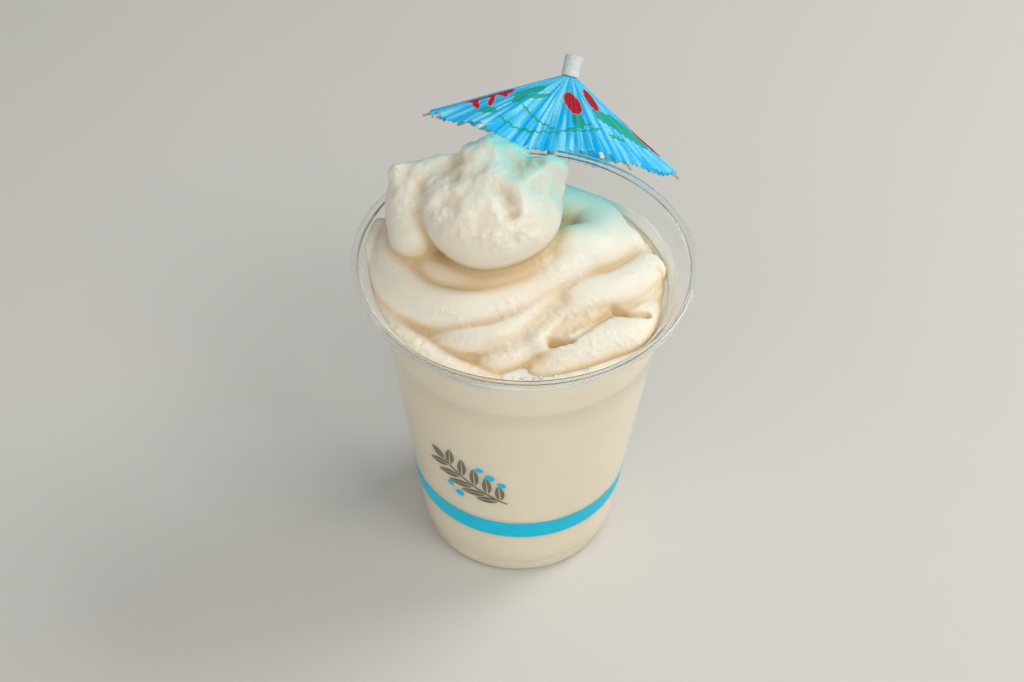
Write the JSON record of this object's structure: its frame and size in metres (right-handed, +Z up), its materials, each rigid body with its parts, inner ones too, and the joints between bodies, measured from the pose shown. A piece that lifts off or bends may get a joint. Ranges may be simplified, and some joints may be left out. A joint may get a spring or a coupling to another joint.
{
  "type": "batido",
  "caption": "Creamy milkshake in a clear flared plastic cup, topped with a whipped swirl and a leaning pleated paper cocktail umbrella.",
  "frame": {"origin": "centre of the cup's base, on the plane that it stands on, on the cup's axis", "axes": "+Z up along the cup's axis; the front of the swirl and the printed motif face -Y; the umbrella leans over the back, towards +Y"},
  "size_m": [0.095, 0.1098, 0.1366],
  "materials": {
    "clear_plastic": "clear, smooth",
    "milk_drink": "creamy, wet",
    "whipped_cream": "soft, frothy on top",
    "blue_paper": "pleated tissue paper with a printed blossom pattern",
    "umbrella_wood": "raw, fine grained",
    "rolled_paper": "white rolled paper"
  },
  "bodies": {
    "root": {"cup": "clear_plastic", "drink": "milk_drink", "swirl": "whipped_cream", "canopy": "blue_paper", "stick": "umbrella_wood", "cap": "rolled_paper", "hub": "umbrella_wood", "runner": "rolled_paper", "rib_1": "umbrella_wood", "rib_2": "umbrella_wood", "rib_3": "umbrella_wood", "rib_4": "umbrella_wood", "rib_5": "umbrella_wood", "rib_6": "umbrella_wood", "rib_7": "umbrella_wood", "rib_8": "umbrella_wood", "strut_1": "umbrella_wood", "strut_2": "umbrella_wood", "strut_3": "umbrella_wood", "strut_4": "umbrella_wood", "strut_5": "umbrella_wood", "strut_6": "umbrella_wood", "strut_7": "umbrella_wood", "strut_8": "umbrella_wood"}
  },
  "joints": []
}
